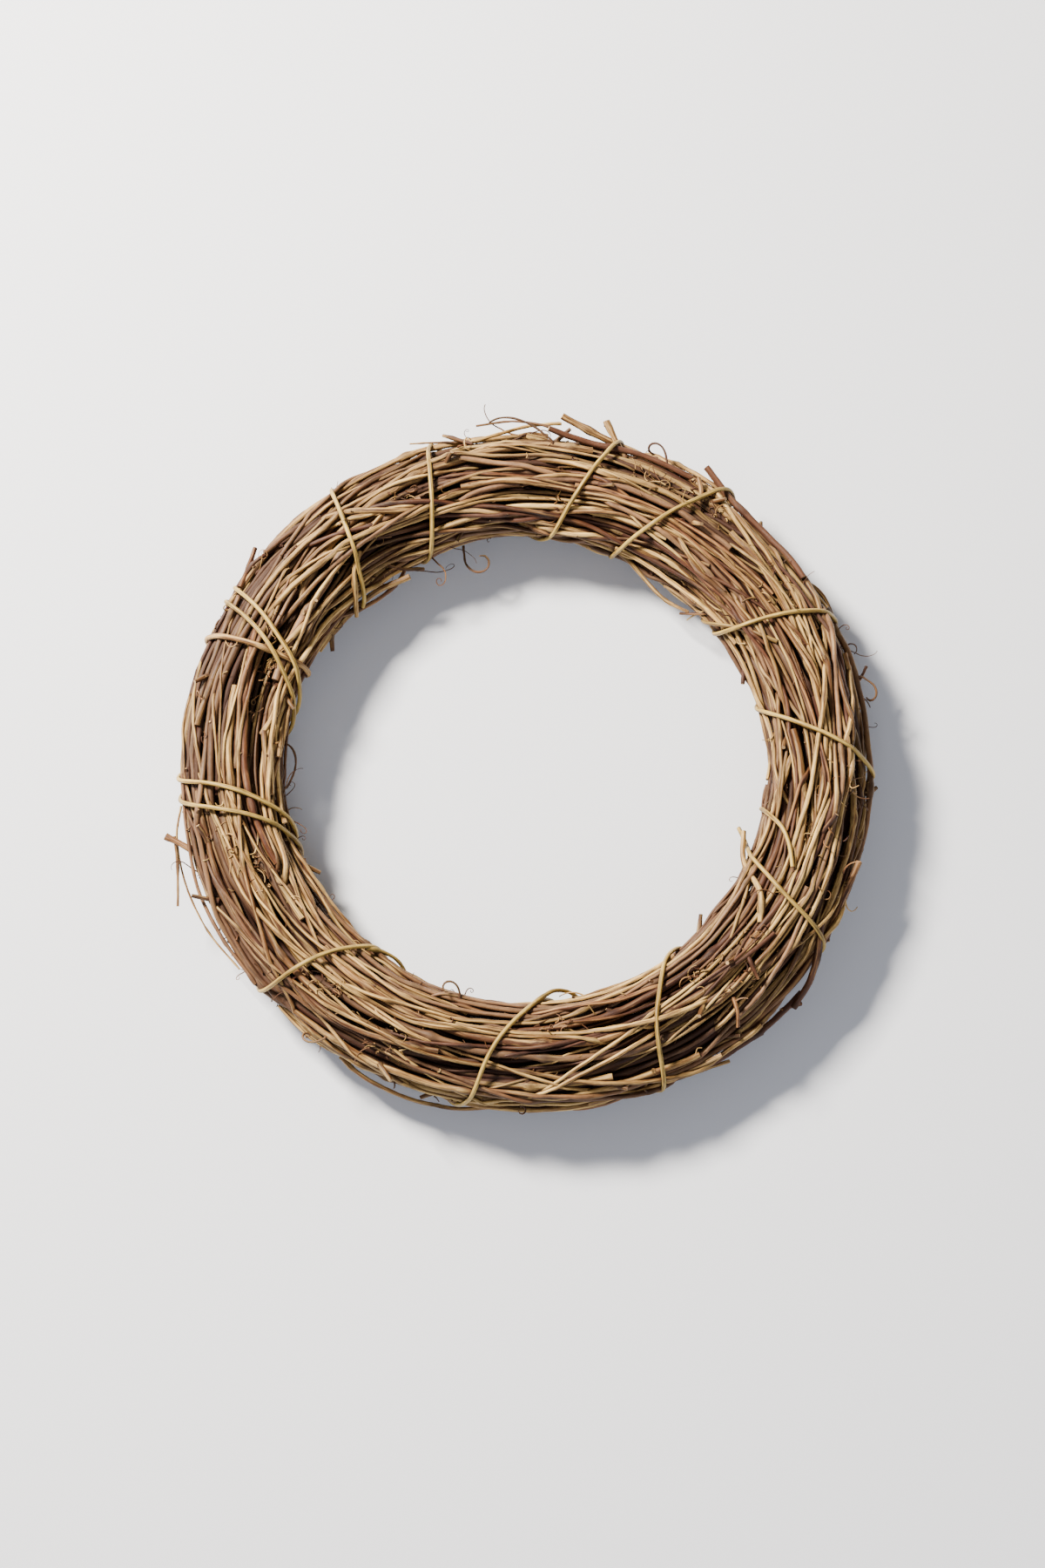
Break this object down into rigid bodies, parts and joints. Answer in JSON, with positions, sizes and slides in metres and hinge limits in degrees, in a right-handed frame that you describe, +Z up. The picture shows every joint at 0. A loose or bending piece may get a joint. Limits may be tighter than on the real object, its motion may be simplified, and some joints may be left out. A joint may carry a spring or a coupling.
{
  "type": "twig wreath",
  "caption": "Round wreath of dry climbing vines coiled into a thick ring, with thinner vines wound round it, broken spurs and curled tendrils, lying flat.",
  "frame": {"origin": "bottom centre of the whole wreath's box, on the surface it lies on; the ring's own centre is 3 mm towards -Y, because the stray ends reach further out at +Y", "axes": "+Z up through the wreath's hole, +Y towards the stray ends at 12 o'clock, +X towards 3 o'clock"},
  "size_m": [0.2564, 0.257, 0.0404],
  "materials": {
    "bark_tan": "dry golden tan bark, smooth with fine lengthwise ridges",
    "bark_brown": "dry brown bark, rough and fibrous",
    "bark_russet": "dry reddish to purplish brown bark, slightly glossy",
    "binding_bark": "smooth straw to olive yellow bark of a thin green-cut vine"
  },
  "bodies": {
    "root": {"core_vine_01": "bark_brown", "core_vine_02": "bark_brown", "inner_vine_01": "bark_brown", "inner_vine_02": "bark_russet", "inner_vine_03": "bark_brown", "inner_vine_04": "bark_russet", "inner_vine_05": "bark_brown", "middle_vine_01": "bark_russet", "middle_vine_02": "bark_brown", "middle_vine_03": "bark_tan", "middle_vine_04": "bark_russet", "middle_vine_05": "bark_brown", "middle_vine_06": "bark_tan", "middle_vine_07": "bark_russet", "middle_vine_08": "bark_brown", "middle_vine_09": "bark_tan", "outer_vine_01": "bark_tan", "outer_vine_02": "bark_brown", "outer_vine_03": "bark_tan", "outer_vine_04": "bark_tan", "outer_vine_05": "bark_russet", "outer_vine_06": "bark_tan", "outer_vine_07": "bark_tan", "outer_vine_08": "bark_brown", "outer_vine_09": "bark_tan", "outer_vine_10": "bark_tan", "outer_vine_11": "bark_russet", "outer_vine_12": "bark_tan", "outer_vine_13": "bark_tan", "outer_vine_14": "bark_brown", "outer_vine_15": "bark_tan", "outer_vine_16": "bark_tan", "riding_twig_1": "bark_tan", "riding_twig_2": "bark_tan", "riding_twig_3": "bark_brown", "riding_twig_4": "bark_tan", "riding_twig_5": "bark_tan", "riding_twig_6": "bark_brown", "riding_twig_7": "bark_tan", "riding_twig_8": "bark_russet", "riding_twig_9": "bark_brown", "riding_twig_10": "bark_tan", "riding_twig_11": "bark_brown", "riding_twig_12": "bark_russet", "riding_twig_13": "bark_tan", "riding_twig_14": "bark_brown", "riding_twig_15": "bark_tan", "stray_twig_top": "bark_brown", "stray_twig_top_short": "bark_russet", "stray_twig_one_o_clock": "bark_russet", "stray_twig_in_hole": "bark_tan", "stray_twig_slack": "bark_tan", "stray_twig_right": "bark_russet", "stray_twig_fork": "bark_russet", "stray_twig_low": "bark_brown", "stray_twig_left": "bark_brown", "binding_twig_brown": "bark_brown", "binding_vine_1": "binding_bark", "binding_vine_2": "binding_bark"}
  },
  "joints": []
}
